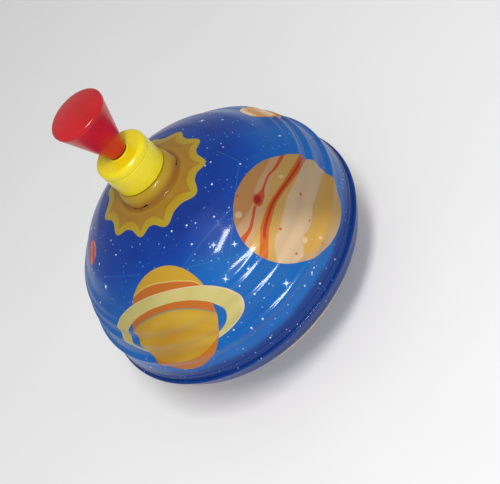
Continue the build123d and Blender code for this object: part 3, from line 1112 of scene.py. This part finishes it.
def metal(name, tone, roughness, stretch=(1.0, 1.0, 1.0), dull=(90, 88, 84)):
    """Bare metal with fine drawing marks and a little tarnish."""
    net = Net(name)
    here = net.place()
    marks = net.noise(net.vector("MULTIPLY", here, stretch), 1.8, 4.0, 0.65)
    tarnish = net.step(net.noise(here, 0.12, 4.0, 0.6), 0.5, 0.8)
    color = net.mix(tarnish * 0.3, ink(*tone), ink(*dull))
    net.bump(marks, 0.02)
    return net.finish(
        Base_Color=color,
        Metallic=1.0,
        Roughness=marks * 0.2 + tarnish * 0.1 + roughness,
    )


def rubber():
    """Dark soft rubber with a fine matt grain."""
    net = Net("rubber")
    here = net.place()
    grain = net.noise(here, 2.5, 4.0, 0.7)
    dust = net.step(net.noise(here, 0.2, 4.0, 0.6), 0.5, 0.8)
    color = net.mix(dust * 0.5, ink(38, 38, 40), ink(74, 72, 70))
    net.bump(grain, 0.08)
    return net.finish(Base_Color=color, Roughness=grain * 0.2 + 0.62)


def nylon():
    """Milky white bearing plastic."""
    net = Net("nylon")
    here = net.place()
    flow = net.noise(here, 0.1, 4.0, 0.6)
    color = net.mix(flow, ink(228, 226, 218), ink(206, 203, 192))
    net.bump(net.noise(here, 2.0, 3.0), 0.03)
    return net.finish(Base_Color=color, Roughness=flow * 0.15 + 0.36, IOR=1.53)


def clad(piece, material):
    """Gives every face of a piece one material."""
    piece.data.materials.clear()
    piece.data.materials.append(material)


def show(piece, body, slot, material, *nodes):
    """Puts a finished piece on its body in place of its CAD nodes."""
    clad(piece, material)
    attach(piece, body)
    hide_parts(*nodes)


yellow = moulded("yellow_plastic", (240, 222, 22), (222, 200, 14), 0.2)
red = moulded("red_plastic", (204, 26, 34), (170, 16, 24), 0.13)
steel = metal("steel", (176, 176, 178), 0.3)
brass = metal("brass", (206, 168, 84), 0.28, dull=(120, 88, 44))
aluminium = metal("plain_aluminium", (206, 207, 209), 0.34, (1.0, 6.0, 1.0))
bright = metal("bright_steel", (208, 209, 212), 0.16, (1.0, 1.0, 0.2), (150, 148, 144))
white = nylon()
black = rubber()

show(dome_shell(), "drum", "dome_print", dome_print(), "upper_shell")
show(bowl_shell(), "drum", "bowl_print", bowl_print(), "lower_shell")
cup, lid = collar_pieces()
show(cup, "drum", "yellow_plastic", yellow, "collar_body")
show(lid, "drum", "yellow_plastic", yellow, "collar_cap")
cone, crown = handle_pieces()
show(cone, "handle", "red_plastic", red, "knob_cone")
show(crown, "handle", "red_plastic", red, "knob_cap")
stand, pad = foot_pieces()
show(stand, "foot", "yellow_plastic", yellow, "foot_cup")
show(pad, "foot", "rubber", black, "foot_sole")
show(twisted_rod(), "handle", "bright_steel", bright, "spiral_rod")

# The CAD nodes that are shown as they are, by material.
KEPT = {
    steel: (
        "spindle_tube", "thrust_washer", "hub_lock_ring", "top_lock_ring", "driver_key_plate",
        "knob_pin", "rod_stop",
    ),
    white: ("rod_guide_bush", "lower_hub_bush", "top_bush", "clutch_ring", "driver_disc"),
    aluminium: ("reed_plate",),
    brass: ("reeds", "reed_rivets", "cap_bush"),
}
for material, nodes in KEPT.items():
    for node in nodes:
        clad(frame["nodes"][node], material)


# ---------------------------------------------------------------- studio


def floor():
    """A wide pale floor with a barely visible mottle."""
    mesh = bpy.data.meshes.new("floor")
    half = 6.0
    corners = [(-half, -half, 0), (half, -half, 0), (half, half, 0), (-half, half, 0)]
    mesh.from_pydata(corners, [], [(0, 1, 2, 3)])
    piece = bpy.data.objects.new("floor", mesh)
    bpy.context.scene.collection.objects.link(piece)
    net = Net("pale_floor")
    here = net.place()
    mottle = net.noise(here, 0.01, 3.0)
    color = net.mix(mottle, ink(244, 244, 244), ink(238, 238, 239))
    clad(piece, net.finish(Base_Color=color, Roughness=0.6, Emission_Strength=0.12))


def softbox(name, toward, distance, size, power, target, roll=0.0, glossy=True):
    """A rectangular lamp that faces a point, and isn't in view itself.

    toward is its direction from the point, roll turns it about that line in degrees, and
    glossy says whether it is reflected.
    """
    lamp = bpy.data.lights.new(name, "AREA")
    lamp.shape = "RECTANGLE"
    lamp.size, lamp.size_y = size
    lamp.energy = power
    piece = bpy.data.objects.new(name, lamp)
    piece.location = Vector(target) + Vector(toward).normalized() * distance
    facing = (Vector(target) - piece.location).to_track_quat("-Z", "Y").to_matrix()
    piece.rotation_euler = (facing @ Matrix.Rotation(math.radians(roll), 3, "Z")).to_euler()
    piece.visible_camera = False
    piece.visible_glossy = glossy
    bpy.context.scene.collection.objects.link(piece)


def camera():
    """The photo's camera: 41 degrees above the floor, rolled so that the top leans left."""
    lens = bpy.data.cameras.new("camera")
    lens.sensor_width, lens.lens = 36.0, 80.1
    place = (0.0, -0.547, 0.5235)
    piece = bpy.data.objects.new("camera", lens)
    right = Vector((0.6685, -0.4983, -0.5521)).normalized()
    ahead = Vector((0.0189, 0.7535, -0.6572)).normalized()
    up = right.cross(ahead).normalized()
    right = ahead.cross(up)
    piece.matrix_world = Matrix.Translation(place) @ Matrix(
        ((right.x, up.x, -ahead.x), (right.y, up.y, -ahead.y), (right.z, up.z, -ahead.z))
    ).to_4x4()
    bpy.context.scene.collection.objects.link(piece)
    bpy.context.scene.camera = piece


def world():
    """An even pale surround."""
    sky = bpy.data.worlds.new("studio")
    sky.use_nodes = True
    background = sky.node_tree.nodes["Background"]
    background.inputs["Color"].default_value = (1.0, 1.0, 1.0, 1.0)
    background.inputs["Strength"].default_value = 0.36
    bpy.context.scene.world = sky


floor()
world()
middle = (0.0, 0.0, 0.09)
key_toward, key_roll = (0.041, -0.515, 0.856), 33.0  # fitted to the photo's highlights
softbox("key", key_toward, 1.2, (0.437, 0.13), 7.0, middle, key_roll)
softbox("halo", key_toward, 1.25, (0.55, 0.22), 1.4, middle, key_roll)
softbox("front", (-0.3, -0.85, 0.45), 1.6, (0.9, 0.9), 3.2, middle, glossy=False)
camera()
bpy.context.scene.view_settings.view_transform = "Standard"
